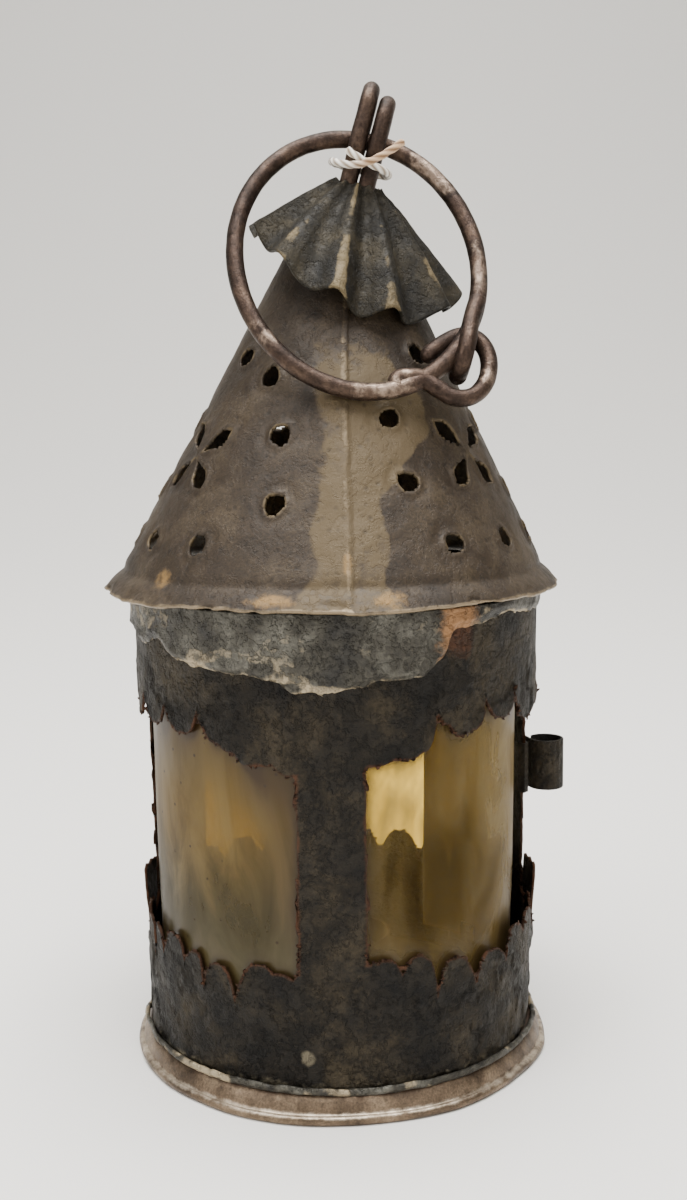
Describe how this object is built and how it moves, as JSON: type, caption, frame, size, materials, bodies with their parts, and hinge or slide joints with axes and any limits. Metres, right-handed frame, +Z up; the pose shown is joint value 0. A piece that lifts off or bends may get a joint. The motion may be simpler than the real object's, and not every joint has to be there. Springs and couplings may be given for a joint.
{
  "type": "candle lantern",
  "caption": "Small round sheet-iron hand lantern with horn windows, a hinged rear door, a pierced conical roof with a pleated smoke cap, and a wire carrying ring.",
  "frame": {"origin": "centre of the round base, on the plane the lantern stands on", "axes": "+Z up; -Y is the front, where the plain post between the two fixed panes stands; +X is the side of the door's pull"},
  "size_m": [0.1018, 0.0986, 0.2056],
  "materials": {
    "body_iron": "matt, scaled and rusted sheet iron",
    "roof_iron": "worn brown-grey sheet iron with pale stains",
    "foot_tin": "worn tinplate, satin",
    "wire_iron": "handled iron wire, half polished",
    "solder": "dull grey lead solder",
    "horn": "cloudy translucent horn",
    "door_horn": "thin clear horn",
    "cotton": "matt cotton string"
  },
  "bodies": {
    "lantern": {"base_pan": "foot_tin", "base_solder": "solder", "drip_pan": "foot_tin", "candle_socket": "foot_tin", "body_shell": "body_iron", "solder_collar": "solder", "horn_pane_left": "horn", "horn_pane_right": "horn", "pane_clip_lower_1": "body_iron", "pane_clip_lower_2": "body_iron", "pane_clip_lower_3": "body_iron", "pane_clip_lower_4": "body_iron", "pane_clip_upper_1": "body_iron", "pane_clip_upper_2": "body_iron", "pane_clip_upper_3": "body_iron", "pane_clip_upper_4": "body_iron", "roof_cone": "roof_iron", "smoke_cap": "roof_iron", "top_eye": "wire_iron", "tag_tie": "cotton", "post_hinge_lower": "body_iron", "post_hinge_upper": "body_iron", "hinge_pin": "wire_iron", "door_keeper": "body_iron"},
    "ring": {"carry_ring": "wire_iron"},
    "door": {"door_frame": "body_iron", "door_pane": "door_horn", "door_hinge_lower": "body_iron", "door_hinge_upper": "body_iron", "door_pull": "body_iron"}
  },
  "joints": [
    {"name": "ring_swing", "type": "hinge", "parent": "lantern", "child": "ring", "pos_m": [0.00803, -0.0025, 0.19367], "axis": [-0.9646, 0, 0.2639], "range_deg": [0, 290]},
    {"name": "door_swing", "type": "hinge", "parent": "lantern", "child": "door", "pos_m": [-0.04124, 0.02333, 0.054], "axis": [0, 0, 1], "range_deg": [0, 105]}
  ]
}
